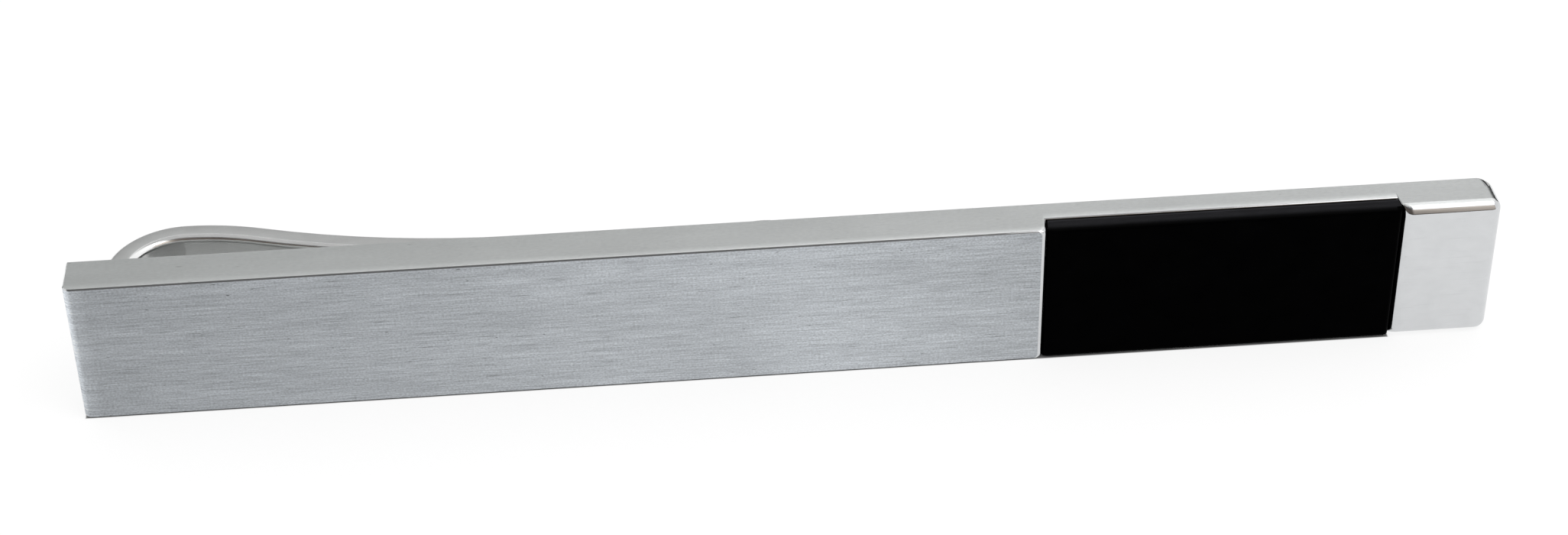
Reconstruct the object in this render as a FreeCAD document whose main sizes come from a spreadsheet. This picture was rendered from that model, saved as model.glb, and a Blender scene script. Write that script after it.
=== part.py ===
import FreeCAD, Part
import math
import os
import types

import Sketcher

# Slide-type tie clip: a solid bar with a black slab let into its front. Behind it one flat spring strip
# rises in a loop near the left end, turns over and runs back along the bar as a sprung tongue.
#
# Frame, in millimetres: +X along the bar, to the right as seen from the front; -Y out of the brushed
# front; +Y towards the shirt; +Z up. The origin is the middle of the bar's lower long edge.

SIZES = (
    ("bar_length", 60.0, "bar, end to end"),
    ("bar_height", 6.7, "bar's front, lower edge to upper edge"),
    ("bar_thickness", 2.0, "bar, front to back"),
    ("bar_edge_bevel", 0.08, "bevel along the bar's crisp edges"),
    ("corner_round", 0.35, "rounding of the brushed front's left corner"),
    ("end_edge_round", 0.48, "rounding about the polished end"),
    ("end_length", 4.2, "polished end along the bar, at the front"),
    ("recess_length", 15.22, "recess along the bar, at the front"),
    ("recess_depth", 0.9, "recess floor behind the front"),
    ("recess_flare", 0.1, "lean of each recess wall from floor to front"),
    ("inlay_wall_gap", 0.03, "slab to each recess wall"),
    ("inlay_edge_inset", 0.01, "slab short of the bar's long edges"),
    ("inlay_edge_round", 0.24, "rounding about the slab's front"),
    ("adhesive_thickness", 0.14, "film between slab and recess floor"),
    ("adhesive_inset", 0.05, "film short of the slab's outline"),
    ("strip_thickness", 1.05, "spring strip"),
    ("strip_setback", 0.65, "spring strip's edges in from the bar's long edges"),
    ("strip_edge_round", 0.28, "rounding along the strip's edges"),
    ("crown_setback", 4.63, "bar's left end to the top of the loop"),
    ("loop_height", 3.25, "bar's back to the outside of the loop"),
    ("crown_radius", 10.8, "outside of the bend past the top of the loop"),
    ("neck_setback", 18.5, "bar's left end to where the tongue comes down"),
    ("neck_gap", 0.05, "tongue to the bar's back at rest"),
    ("lip_lead", 0.77, "lip's upward bend before its corners start to round"),
    ("lip_rise", 1.0, "lip's end above the flat of the tongue"),
    ("tongue_reach", 31.5, "bar's left end to the tip of the lip"),
    ("tip_flat", 0.2, "straight stretch between the lip's two round corners"),
    ("tenon_depth", 1.0, "strip's root sunk into the bar's back"),
    ("braze_gap", 0.05, "brazing round the root in its slot"),
    ("braze_bead", 0.2, "bead of brazing that stands round the root"),
    ("cut_overrun", 0.5, "how far a cut runs past the metal"),
)

BAR_LEFT = "-Sizes.bar_length / 2"
BAR_FRONT = "-Sizes.bar_thickness / 2"
BAR_BACK = "Sizes.bar_thickness / 2"
MID_HEIGHT = "Sizes.bar_height / 2"
STRIP_WIDTH = "Sizes.bar_height - 2 * Sizes.strip_setback"
TIP_CORNER = f"({STRIP_WIDTH} - Sizes.tip_flat) / 2"
LIP_LENGTH = f"{TIP_CORNER} + Sizes.lip_lead"
LOOP_INSIDE = "Sizes.loop_height - Sizes.strip_thickness"
SLOT_DEPTH = "Sizes.tenon_depth + Sizes.braze_gap"
SLOT_LENGTH = "Sizes.strip_thickness + 2 * Sizes.braze_gap"
SLOT_WIDTH = f"{STRIP_WIDTH} + 2 * Sizes.braze_gap"
RECESS_LEFT = "Sizes.bar_length / 2 - Sizes.end_length - Sizes.recess_length"
SLAB_DEPTH = "Sizes.recess_depth - Sizes.adhesive_thickness"

# How a sketch counts the points of a line or arc, and its own two axes.
START, END, CENTRE = range(1, 4)
LEVEL_AXIS, UPRIGHT_AXIS = range(-1, -3, -1)
ORIGIN = (LEVEL_AXIS, START)

ALONG, OUTWARD, UP = range(3)
TOUCHING = 1e-6
SHARP_TURN = math.pi / 8


def make_sheet(doc):
    """Write every driving size into an aliased cell, with what it measures beside it."""
    sheet = doc.addObject("Spreadsheet::Sheet", "Sizes")
    for row, (alias, value, meaning) in enumerate(SIZES, start=1):
        sheet.set(f"A{row}", alias)
        sheet.set(f"B{row}", str(value))
        sheet.set(f"C{row}", meaning)
        sheet.setAlias(f"B{row}", alias)
    doc.recompute()
    return types.SimpleNamespace(**{alias: sheet.get(alias) for alias, _, _ in SIZES})


def make_body(doc, label, x=None, y=None, z=None):
    """Start one piece of the clip, placed in the frame by expressions."""
    body = doc.addObject("PartDesign::Body", label)
    body.Label = label
    for direction, place in (("x", x), ("y", y), ("z", z)):
        if place:
            body.setExpression(f"Placement.Base.{direction}", place)
    return body


def make_sketch(body, name, role="XY_Plane", x=None, y=None, z=None):
    """Lay a sketch on one of the body's own origin planes, moved within it by expressions."""
    sketch = body.newObject("Sketcher::SketchObject", name)
    plane = next(item for item in body.Origin.OriginFeatures if item.Role == role)
    sketch.AttachmentSupport = [(plane, "")]
    sketch.MapMode = "FlatFace"
    for direction, place in (("x", x), ("y", y), ("z", z)):
        if place:
            sketch.setExpression(f"AttachmentOffset.Base.{direction}", place)
    return sketch


class Outline:
    """A closed outline drawn piece by piece in a sketch, then pinned down by rules and sizes."""

    def __init__(self, sketch):
        self.sketch = sketch
        self.ends = []

    def line(self, first, last):
        segment = Part.LineSegment(FreeCAD.Vector(*first), FreeCAD.Vector(*last))
        self.sketch.addGeometry(segment, False)
        self.ends.append((START, END))

    def arc(self, first, last, centre, leftwards):
        """An arc about the centre from first to last, turning left or right on its way."""
        start, stop = (first, last) if leftwards else (last, first)
        turns = [math.atan2(place[1] - centre[1], place[0] - centre[0]) for place in (start, stop)]
        circle = Part.Circle(FreeCAD.Vector(*centre), FreeCAD.Vector(0, 0, 1), math.dist(first, centre))
        self.sketch.addGeometry(Part.ArcOfCircle(circle, *turns), False)
        self.ends.append((START, END) if leftwards else (END, START))

    def polygon(self, corners):
        for first, last in zip(corners, corners[1:] + corners[:1]):
            self.line(first, last)
        self.close()

    def close(self, smooth=()):
        """Join each piece to the next one, without a corner after the pieces named smooth."""
        for piece, (_, leaving) in enumerate(self.ends):
            following = (piece + 1) % len(self.ends)
            kind = "Tangent" if piece in smooth else "Coincident"
            self.rule(kind, piece, leaving, following, self.ends[following][0])

    def first(self, piece):
        return piece, self.ends[piece][0]

    def last(self, piece):
        return piece, self.ends[piece][1]

    def rule(self, kind, *places):
        self.sketch.addConstraint(Sketcher.Constraint(kind, *places))

    def size(self, kind, *places, equals):
        """A rule with a size, tied to the sheet by the expression that it equals."""
        value = float(self.sketch.evalExpression(equals))
        index = self.sketch.addConstraint(Sketcher.Constraint(kind, *places, value))
        self.sketch.setExpression(f"Constraints[{index}]", equals)


def draw_rectangle(sketch, left, right, below, above):
    """A rectangle from -left to right and from -below to above, each an expression or None for zero."""
    low_x, high_x, low_y, high_y = (
        float(sketch.evalExpression(reach)) if reach else 0.0 for reach in (left, right, below, above)
    )
    outline = Outline(sketch)
    outline.polygon([(-low_x, -low_y), (high_x, -low_y), (high_x, high_y), (-low_x, high_y)])
    for piece, kind in enumerate(("Horizontal", "Vertical", "Horizontal", "Vertical")):
        outline.rule(kind, piece)
    for kind, reach, places in (
        ("DistanceX", left, (outline.first(0), ORIGIN)),
        ("DistanceX", right, (ORIGIN, outline.first(2))),
        ("DistanceY", below, (outline.first(0), ORIGIN)),
        ("DistanceY", above, (ORIGIN, outline.first(2))),
    ):
        if reach:
            outline.size(kind, *places[0], *places[1], equals=reach)
        else:
            corner = places[0] if places[1] == ORIGIN else places[1]
            outline.rule("Vertical" if kind == "DistanceX" else "Horizontal", *ORIGIN, *corner)


def extrude(body, kind, name, sketch, length, symmetric=False, backwards=False):
    """A pad or pocket of the sketch. A pocket that takes nothing away is an error."""
    before = body.Shape.Volume if kind == "Pocket" else None
    feature = body.newObject(f"PartDesign::{kind}", name)
    feature.Profile = sketch
    feature.setExpression("Length", length)
    feature.SideType = "Symmetric" if symmetric else "One side"
    feature.Reversed = backwards
    body.Document.recompute()
    if kind == "Pocket" and body.Shape.Volume > before - TOUCHING:
        raise RuntimeError(f"{body.Label}: {name} takes nothing away")
    return feature


def dress(body, kind, name, chosen, size_property, size):
    """A fillet or chamfer on the edges that the test picks out of the body's present shape."""
    base = body.Tip
    edges = enumerate(base.Shape.Edges, start=1)
    names = [f"Edge{number}" for number, edge in edges if chosen(base.Shape, edge)]
    if not names:
        raise RuntimeError(f"{body.Label}: {name} finds no edge")
    feature = body.newObject(f"PartDesign::{kind}", name)
    feature.Base = (base, names)
    feature.setExpression(size_property, size)
    body.Document.recompute()


def lies_at(edge, axis, place):
    return all(abs(vertex.Point[axis] - place) < TOUCHING for vertex in edge.Vertexes)


def lies_between(edge, axis, low, high):
    return all(low - TOUCHING < vertex.Point[axis] < high + TOUCHING for vertex in edge.Vertexes)


def is_sharp(shape, edge):
    """True where the edge's two faces meet at a corner and not in a smooth seam."""
    middle = edge.valueAt((edge.FirstParameter + edge.LastParameter) / 2)
    normals = [face.normalAt(*face.Surface.parameter(middle))
               for face in shape.ancestorsOfType(edge, Part.Face)]
    return normals[0].getAngle(normals[-1]) > SHARP_TURN


def make_bar(doc, size):
    """The bar: a notched plan outline raised to the bar's height, with a slot for the strip's root."""
    body = make_body(doc, "bar_body")
    plan = make_sketch(body, "bar_plan")
    left, right = -size.bar_length / 2, size.bar_length / 2
    front, back = -size.bar_thickness / 2, size.bar_thickness / 2
    recess_right = right - size.end_length
    recess_left = recess_right - size.recess_length
    floor = front + size.recess_depth
    outline = Outline(plan)
    outline.polygon([
        (left, front), (recess_left, front),
        (recess_left + size.recess_flare, floor), (recess_right - size.recess_flare, floor),
        (recess_right, front), (right, front), (right, back), (left, back),
    ])
    brushed, left_wall, recess_floor, right_wall, polished, right_end, rear, left_end = range(8)
    for piece in (brushed, recess_floor, polished, rear):
        outline.rule("Horizontal", piece)
    for piece in (right_end, left_end):
        outline.rule("Vertical", piece)
    outline.rule("Symmetric", *outline.first(brushed), *outline.first(rear), *ORIGIN)
    outline.rule("Horizontal", *outline.last(brushed), *outline.first(polished))
    for kind, first, last, equals in (
        ("DistanceX", outline.last(rear), outline.first(rear), "Sizes.bar_length"),
        ("DistanceY", outline.first(right_end), outline.last(right_end), "Sizes.bar_thickness"),
        ("DistanceX", outline.last(brushed), outline.first(polished), "Sizes.recess_length"),
        ("DistanceX", outline.first(polished), outline.last(polished), "Sizes.end_length"),
        ("DistanceY", outline.first(left_wall), outline.last(left_wall), "Sizes.recess_depth"),
        ("DistanceX", outline.first(left_wall), outline.last(left_wall), "Sizes.recess_flare"),
        ("DistanceX", outline.first(right_wall), outline.last(right_wall), "Sizes.recess_flare"),
    ):
        outline.size(kind, *first, *last, equals=equals)
    extrude(body, "Pad", "bar_block", plan, "Sizes.bar_height")

    slot_left = f"{BAR_LEFT} + Sizes.crown_setback - Sizes.loop_height - Sizes.braze_gap"
    slot = make_sketch(body, "root_slot_plan", x=slot_left, y=BAR_BACK, z=MID_HEIGHT)
    draw_rectangle(slot, None, SLOT_LENGTH, SLOT_DEPTH, "Sizes.cut_overrun")
    extrude(body, "Pocket", "root_slot", slot, SLOT_WIDTH, symmetric=True)

    def left_corner(shape, edge):
        return lies_at(edge, ALONG, left) and lies_at(edge, OUTWARD, front)

    def about_polished_end(shape, edge):
        front_edge = lies_at(edge, OUTWARD, front) and lies_between(edge, ALONG, recess_right, right)
        return front_edge or lies_at(edge, ALONG, right)

    def about_brushed_front_and_back(shape, edge):
        brushed_edge = lies_at(edge, OUTWARD, front) and lies_between(edge, ALONG, left, recess_left)
        outer = any(lies_at(edge, axis, place)
                    for axis, place in ((ALONG, left), (UP, 0), (UP, size.bar_height)))
        return (brushed_edge or (outer and lies_at(edge, OUTWARD, back))) and is_sharp(shape, edge)

    dress(body, "Fillet", "left_corner", left_corner, "Radius", "Sizes.corner_round")
    dress(body, "Fillet", "polished_edges", about_polished_end, "Radius", "Sizes.end_edge_round")
    dress(body, "Chamfer", "crisp_edges", about_brushed_front_and_back, "Size", "Sizes.bar_edge_bevel")
    return body


def make_inlay(doc, size):
    """The black slab: it follows the recess walls and is flush with the bar's front."""
    body = make_body(doc, "black_inlay", RECESS_LEFT, BAR_FRONT)
    plan = make_sketch(body, "slab_plan", z="Sizes.inlay_edge_inset")
    depth = size.recess_depth - size.adhesive_thickness
    lean = size.recess_flare * depth / size.recess_depth
    gap, length = size.inlay_wall_gap, size.recess_length
    outline = Outline(plan)
    outline.polygon([(gap, 0), (length - gap, 0), (length - gap - lean, depth), (gap + lean, depth)])
    front, right_side, rear, left_side = range(4)
    outline.rule("Horizontal", rear)
    outline.rule("Horizontal", *ORIGIN, *outline.first(front))
    outline.rule("Horizontal", *ORIGIN, *outline.last(front))
    lean = f"Sizes.recess_flare * ({SLAB_DEPTH}) / Sizes.recess_depth"
    for kind, first, last, equals in (
        ("DistanceX", ORIGIN, outline.first(front), "Sizes.inlay_wall_gap"),
        ("DistanceX", ORIGIN, outline.last(front), "Sizes.recess_length - Sizes.inlay_wall_gap"),
        ("DistanceX", outline.last(left_side), outline.first(left_side), lean),
        ("DistanceX", outline.last(right_side), outline.first(right_side), lean),
        ("DistanceY", ORIGIN, outline.first(rear), SLAB_DEPTH),
    ):
        outline.size(kind, *first, *last, equals=equals)
    extrude(body, "Pad", "slab", plan, "Sizes.bar_height - 2 * Sizes.inlay_edge_inset")

    def about_front(shape, edge):
        return lies_at(edge, OUTWARD, 0)

    dress(body, "Fillet", "slab_edges", about_front, "Radius", "Sizes.inlay_edge_round")
    return body


def make_adhesive(doc, size):
    """The film of adhesive between the slab's back and the recess floor."""
    inset = "Sizes.recess_flare + Sizes.inlay_wall_gap + Sizes.adhesive_inset"
    height_inset = "Sizes.inlay_edge_inset + Sizes.adhesive_inset"
    body = make_body(doc, "inlay_adhesive", f"{RECESS_LEFT} + {inset}", f"{BAR_FRONT} + Sizes.recess_depth")
    plan = make_sketch(body, "film_plan", z=height_inset)
    draw_rectangle(plan, None, f"Sizes.recess_length - 2 * ({inset})", "Sizes.adhesive_thickness", None)
    extrude(body, "Pad", "film", plan, f"Sizes.bar_height - 2 * ({height_inset})")
    return body


def draw_loop(sketch, size):
    """The strip seen from above, from its sunk root up the quarter round of the loop to its top."""
    outside, depth = size.loop_height, size.tenon_depth
    inside = outside - size.strip_thickness
    outline = Outline(sketch)
    outline.line((0, outside), (0, inside))
    outline.arc((0, inside), (-inside, 0), (0, 0), leftwards=True)
    outline.line((-inside, 0), (-inside, -depth))
    outline.line((-inside, -depth), (-outside, -depth))
    outline.line((-outside, -depth), (-outside, 0))
    outline.arc((-outside, 0), (0, outside), (0, 0), leftwards=False)
    top, inner_bend, inner_root, root_end, outer_root, outer_bend = range(6)
    outline.close(smooth=(inner_bend, outer_root))
    for bend in (inner_bend, outer_bend):
        outline.rule("Coincident", bend, CENTRE, *ORIGIN)
    for end in (outline.first(top), outline.last(top)):
        outline.rule("PointOnObject", *end, UPRIGHT_AXIS)
    for root in (inner_root, outer_root):
        outline.rule("Vertical", root)
    outline.rule("Horizontal", root_end)
    outline.size("Radius", outer_bend, equals="Sizes.loop_height")
    outline.size("Radius", inner_bend, equals=LOOP_INSIDE)
    outline.size("DistanceY", *outline.first(root_end), *ORIGIN, equals="Sizes.tenon_depth")


def make_strip_body(doc, label):
    """A body whose own origin is on the bar's back, under the top of the loop, at mid height."""
    return make_body(doc, label, f"{BAR_LEFT} + Sizes.crown_setback", BAR_BACK, MID_HEIGHT)


def strip_edge(shape, edge):
    """A long edge of the strip: sharp, and not where the strip's two halves meet."""
    return not lies_at(edge, ALONG, 0) and is_sharp(shape, edge)


def make_loop(doc, size):
    """The fixed half of the spring strip: sunk root and quarter-round loop."""
    body = make_strip_body(doc, "spring_loop")
    plan = make_sketch(body, "loop_plan")
    draw_loop(plan, size)
    extrude(body, "Pad", "loop_strip", plan, STRIP_WIDTH, symmetric=True)
    dress(body, "Fillet", "loop_edges", strip_edge, "Radius", "Sizes.strip_edge_round")
    return body


def make_tongue(doc, size):
    """The moving half: over the top, down to the neck, along the bar's back and up at the lip."""
    body = make_strip_body(doc, "spring_tongue")
    plan = make_sketch(body, "tongue_plan")
    outside, thickness, gap = size.loop_height, size.strip_thickness, size.neck_gap
    neck_x = size.neck_setback - size.crown_setback
    drop = outside - thickness - gap
    crown_radius = size.crown_radius
    both_radii = (neck_x ** 2 + drop ** 2) / (2 * drop)
    neck_radius = both_radii - crown_radius
    crown_centre = (0, outside - crown_radius)
    neck_centre = (neck_x, gap + thickness + neck_radius)
    swing = math.asin(neck_x / both_radii)

    def over_crown(radius):
        return radius * math.sin(swing), crown_centre[1] + radius * math.cos(swing)

    lip_length = float(plan.evalExpression(LIP_LENGTH))
    lip_inside = (lip_length ** 2 + size.lip_rise ** 2) / (2 * size.lip_rise)
    lip_outside = lip_inside - thickness
    lift = math.asin(lip_length / lip_inside)
    lip_x = size.tongue_reach - size.crown_setback - lip_length
    lip_centre = (lip_x, gap + thickness + lip_outside)

    def up_lip(radius):
        return lip_x + radius * math.sin(lift), lip_centre[1] - radius * math.cos(lift)

    outer_turn, inner_turn = over_crown(crown_radius), over_crown(crown_radius - thickness)
    outer_tip, inner_tip = up_lip(lip_outside), up_lip(lip_inside)
    outline = Outline(plan)
    outline.line((0, outside - thickness), (0, outside))
    outline.arc((0, outside), outer_turn, crown_centre, leftwards=False)
    outline.arc(outer_turn, (neck_x, gap + thickness), neck_centre, leftwards=True)
    outline.line((neck_x, gap + thickness), (lip_x, gap + thickness))
    outline.arc((lip_x, gap + thickness), outer_tip, lip_centre, leftwards=True)
    outline.line(outer_tip, inner_tip)
    outline.arc(inner_tip, (lip_x, gap), lip_centre, leftwards=False)
    outline.line((lip_x, gap), (neck_x, gap))
    outline.arc((neck_x, gap), inner_turn, neck_centre, leftwards=False)
    outline.arc(inner_turn, (0, outside - thickness), crown_centre, leftwards=True)
    (top, outer_crown, outer_neck, outer_flat, outer_lip,
     tip, inner_lip, inner_flat, inner_neck, inner_crown) = range(10)
    outline.close(smooth=(outer_crown, outer_neck, outer_flat, inner_lip, inner_flat, inner_neck))
    for outer, inner in ((outer_crown, inner_crown), (outer_neck, inner_neck), (outer_lip, inner_lip)):
        outline.rule("Coincident", outer, CENTRE, inner, CENTRE)
    for place in (outline.first(top), outline.last(top), (outer_crown, CENTRE)):
        outline.rule("PointOnObject", *place, UPRIGHT_AXIS)
    for flat in (outer_flat, inner_flat):
        outline.rule("Horizontal", flat)
    outline.rule("PointOnObject", outer_lip, CENTRE, tip)
    outline.size("Radius", outer_crown, equals="Sizes.crown_radius")
    for kind, first, last, equals in (
        ("DistanceY", ORIGIN, outline.last(top), "Sizes.loop_height"),
        ("DistanceY", outline.first(top), outline.last(top), "Sizes.strip_thickness"),
        ("DistanceX", ORIGIN, outline.first(outer_flat), "Sizes.neck_setback - Sizes.crown_setback"),
        ("DistanceY", ORIGIN, outline.last(inner_flat), "Sizes.neck_gap"),
        ("DistanceX", ORIGIN, outline.last(tip), "Sizes.tongue_reach - Sizes.crown_setback"),
        ("DistanceX", outline.first(inner_flat), outline.last(tip), LIP_LENGTH),
        ("DistanceY", outline.first(inner_flat), outline.last(tip), "Sizes.lip_rise"),
    ):
        outline.size(kind, *first, *last, equals=equals)
    extrude(body, "Pad", "tongue_strip", plan, STRIP_WIDTH, symmetric=True)

    def tip_corners(shape, edge):
        level = lies_at(edge, UP, edge.Vertexes[0].Point[UP])
        return level and lies_between(edge, ALONG, outer_tip[0], inner_tip[0])

    dress(body, "Fillet", "lip_corners", tip_corners, "Radius", TIP_CORNER)
    dress(body, "Fillet", "tongue_edges", strip_edge, "Radius", "Sizes.strip_edge_round")
    return body


def make_braze(doc, size):
    """The brazing that fills the slot round the strip's root and stands up round it as a bead."""
    body = make_strip_body(doc, "braze_seam")
    fill = make_sketch(body, "slot_fill_plan", x="-Sizes.loop_height - Sizes.braze_gap")
    draw_rectangle(fill, None, SLOT_LENGTH, SLOT_DEPTH, None)
    extrude(body, "Pad", "slot_fill", fill, SLOT_WIDTH, symmetric=True)
    middle = "-Sizes.loop_height + Sizes.strip_thickness / 2"
    half_length, half_width = f"({SLOT_LENGTH}) / 2", f"({SLOT_WIDTH}) / 2"
    foot = make_sketch(body, "bead_foot", "XZ_Plane", x=middle)
    draw_rectangle(foot, *(f"{half} + Sizes.braze_bead" for half in
                           (half_length, half_length, half_width, half_width)))
    top = make_sketch(body, "bead_top", "XZ_Plane", x=middle, z="-Sizes.braze_bead")
    draw_rectangle(top, half_length, half_length, half_width, half_width)
    bead = body.newObject("PartDesign::AdditiveLoft", "bead")
    bead.Profile = foot
    bead.Sections = [top]
    bead.Ruled = True
    doc.recompute()
    root = make_sketch(body, "root_plan")
    draw_loop(root, size)
    extrude(body, "Pocket", "root_seat", root, STRIP_WIDTH, symmetric=True)
    return body


def check(doc, bodies):
    """Stop if any object failed, any sketch is loose, or any piece is not one sound solid."""
    for item in doc.Objects:
        if {"Invalid", "Error"} & set(item.State):
            raise RuntimeError(f"{item.Name} failed: {item.State}")
        if item.TypeId == "Sketcher::SketchObject" and not item.FullyConstrained:
            raise RuntimeError(f"{item.Name} is not fully constrained")
    for body in bodies:
        if body.Shape.isNull() or not body.Shape.isValid() or len(body.Shape.Solids) != 1:
            raise RuntimeError(f"{body.Label} is not one sound solid")


def main():
    doc = FreeCAD.newDocument("tie_clip")
    size = make_sheet(doc)
    makers = (make_bar, make_inlay, make_adhesive, make_loop, make_tongue, make_braze)
    bodies = [make(doc, size) for make in makers]
    doc.recompute()
    check(doc, bodies)
    os.makedirs("parts", exist_ok=True)
    for body in bodies:
        body.Shape.exportStep(os.path.join("parts", f"{body.Label}.step"))
        print(f"{body.Label}: {body.Shape.Volume:.3f} mm3")


main()
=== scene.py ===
import math
from collections import namedtuple

import bmesh
import bpy
from bpy.props import FloatProperty, FloatVectorProperty, PointerProperty
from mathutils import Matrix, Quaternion, Vector


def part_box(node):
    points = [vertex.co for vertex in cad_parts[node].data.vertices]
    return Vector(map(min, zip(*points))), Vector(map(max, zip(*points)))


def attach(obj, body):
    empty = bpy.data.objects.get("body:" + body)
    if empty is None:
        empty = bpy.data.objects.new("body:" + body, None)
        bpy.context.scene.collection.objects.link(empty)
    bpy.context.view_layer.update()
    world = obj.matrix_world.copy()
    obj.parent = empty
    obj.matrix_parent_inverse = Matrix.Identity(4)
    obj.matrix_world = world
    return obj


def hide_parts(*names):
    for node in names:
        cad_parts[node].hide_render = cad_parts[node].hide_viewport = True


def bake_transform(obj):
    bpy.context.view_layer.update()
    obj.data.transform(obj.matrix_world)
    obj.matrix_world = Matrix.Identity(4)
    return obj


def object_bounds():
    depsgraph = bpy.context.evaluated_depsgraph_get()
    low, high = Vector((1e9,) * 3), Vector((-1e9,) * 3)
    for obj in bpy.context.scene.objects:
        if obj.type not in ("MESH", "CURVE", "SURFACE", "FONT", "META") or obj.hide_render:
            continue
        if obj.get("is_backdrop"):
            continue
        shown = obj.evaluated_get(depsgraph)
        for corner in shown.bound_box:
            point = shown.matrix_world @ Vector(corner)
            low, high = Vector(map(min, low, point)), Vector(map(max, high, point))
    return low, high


# Slide-type tie clip: a metal bar with a brushed front, a black slab let into it and a polished end. One
# flat spring strip rises in a loop behind the bar's left end and runs back along the bar as a sprung tongue.
#
# Frame, in metres: +X along the bar, -Y out of the brushed front, +Y towards the shirt, +Z up.

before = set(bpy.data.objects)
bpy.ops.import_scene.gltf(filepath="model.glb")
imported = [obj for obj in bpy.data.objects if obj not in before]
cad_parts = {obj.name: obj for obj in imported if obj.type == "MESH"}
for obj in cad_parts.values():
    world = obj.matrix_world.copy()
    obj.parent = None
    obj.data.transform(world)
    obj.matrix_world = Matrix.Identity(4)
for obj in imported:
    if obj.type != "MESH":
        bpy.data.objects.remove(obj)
CAD_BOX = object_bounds()

bl_info = {
    "name": "Tie clip",
    "version": (1, 0, 0),
    "blender": (4, 5, 0),
    "location": "3D View > Sidebar > Tie clip",
    "description": "A slide-type tie clip with a brushed bar, a black inlay and a sprung tongue",
    "category": "Mesh",
}

MM = 0.001
BAR_LOW, BAR_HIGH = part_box("bar_body")
SLAB_LOW, SLAB_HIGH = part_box("black_inlay")
LOOP_LOW, LOOP_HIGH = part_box("spring_loop")
TONGUE_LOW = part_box("spring_tongue")[0]

BAR_BACK = BAR_HIGH.y
RECESS_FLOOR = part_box("inlay_adhesive")[1].y
MID_HEIGHT = (LOOP_LOW.z + LOOP_HIGH.z) / 2
STRIP_WIDTH = LOOP_HIGH.z - LOOP_LOW.z
LOOP_HEIGHT = LOOP_HIGH.y - BAR_BACK
CROWN_X = TONGUE_LOW.x
SHARP_TURN = math.radians(30)
MERGE_DISTANCE = 1e-4 * MM
SENSOR_WIDTH = 36.0


def length(name, description, default):
    return FloatProperty(name=name, description=description, default=default, unit="LENGTH", precision=5)


def colour(name, description, default):
    return FloatVectorProperty(name=name, description=description, default=default, subtype="COLOR",
                               size=3, min=0.0, max=1.0)


def amount(name, description, default):
    return FloatProperty(name=name, description=description, default=default, min=0.0, max=10.0)


class BarSettings(bpy.types.PropertyGroup):
    """Edges and finishes of the bar."""

    crisp_edge: length("Crisp edge", "Flat bevel along the brushed front's and the back's edges", 0.055 * MM)
    roll_width: length("Roll width", "Strip along the top's front edges that rolls off", 0.325 * MM)
    roll_drop: length("Roll drop", "Fall of the rolled strip at the edge", 0.02 * MM)
    recess_edge: length("Recess edge", "Rounding along the recess floor's long edges", 0.07 * MM)
    wall_edge: length("Wall edge", "Rounding of the brushed front beside the inlay", 0.2 * MM)
    wall_top: length("Wall top", "Rounding along the top and bottom of the recess's left wall", 0.16 * MM)
    wall_corner: length("Wall corner", "Extra rounding where that edge runs out", 0.26 * MM)
    corner_round: length("Corner rounding", "Rounding of the brushed front's left corner", 0.35 * MM)
    end_round: length("End rounding", "Rounding about the polished end", 0.48 * MM)
    rear_corner: length("Rear corner", "Extra rounding at the tips of the end's rear corners", 0.2 * MM)
    wall_gap: length("Inlay gap", "Recess wall to the slab", 0.03 * MM)
    recess_flare: length("Recess flare", "Lean of each recess wall from floor to front", 0.1 * MM)
    brushed: colour("Brushed front", "Metal of the brushed front", (0.635, 0.67, 0.705))
    polished: colour("Polished end", "Metal of the polished end and the edges", (0.63, 0.64, 0.65))
    # The satin and back finishes are real, but their metal is set much lighter than the same metal on the
    # front: a painted lift of light on the top and on the back in the loop's shade.
    satin: colour("Satin faces", "Metal of the top, the underside and the left end", (0.86, 0.88, 0.875))
    back: colour("Back", "Metal of the plainly finished back", (0.88, 0.89, 0.885))


class InlaySettings(bpy.types.PropertyGroup):
    """Edges and finish of the black slab and its adhesive."""

    edge_round: length("Edge rounding", "Rounding about the slab's front", 0.24 * MM)
    side_edge: length("Side edge", "Softening of the slab's side and back edges", 0.02 * MM)
    black: colour("Slab", "Smooth black slab", (0.0008, 0.0008, 0.0009))
    adhesive: colour("Adhesive", "Film behind the slab", (0.0025, 0.0023, 0.002))


class StripSettings(bpy.types.PropertyGroup):
    """Shape and finish of the spring strip and its brazed root."""

    thickness: length("Thickness", "Spring strip, face to face", 1.05 * MM)
    edge_round: length("Edge rounding", "Rounding along the strip's edges", 0.28 * MM)
    crown_radius: length("Crown radius", "Outside of the bend past the top of the loop", 10.8 * MM)
    neck_setback: length("Neck", "Bar's left end to where the tongue comes down", 18.5 * MM)
    tongue_reach: length("Reach", "Bar's left end to the tip of the lip", 31.5 * MM)
    lip_rise: length("Lip rise", "Lip's end above the flat of the tongue", 1.0 * MM)
    lip_lead: length("Lip lead", "Lip's bend before its corners start to round", 0.77 * MM)
    tip_flat: length("Tip flat", "Straight stretch between the lip's round corners", 0.2 * MM)
    braze_gap: length("Brazing gap", "Brazing round the root in its slot", 0.05 * MM)
    braze_bead: length("Brazing bead", "Height of the bead round the root", 0.2 * MM)
    metal: colour("Strip metal", "Polished inner face and edges of the strip", (0.91, 0.915, 0.91))
    outer: colour("Outer face", "Satin outer face of the strip", (0.77, 0.78, 0.775))
    brazing: colour("Brazing metal", "Metal of the brazed seam", (0.56, 0.54, 0.48))


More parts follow.
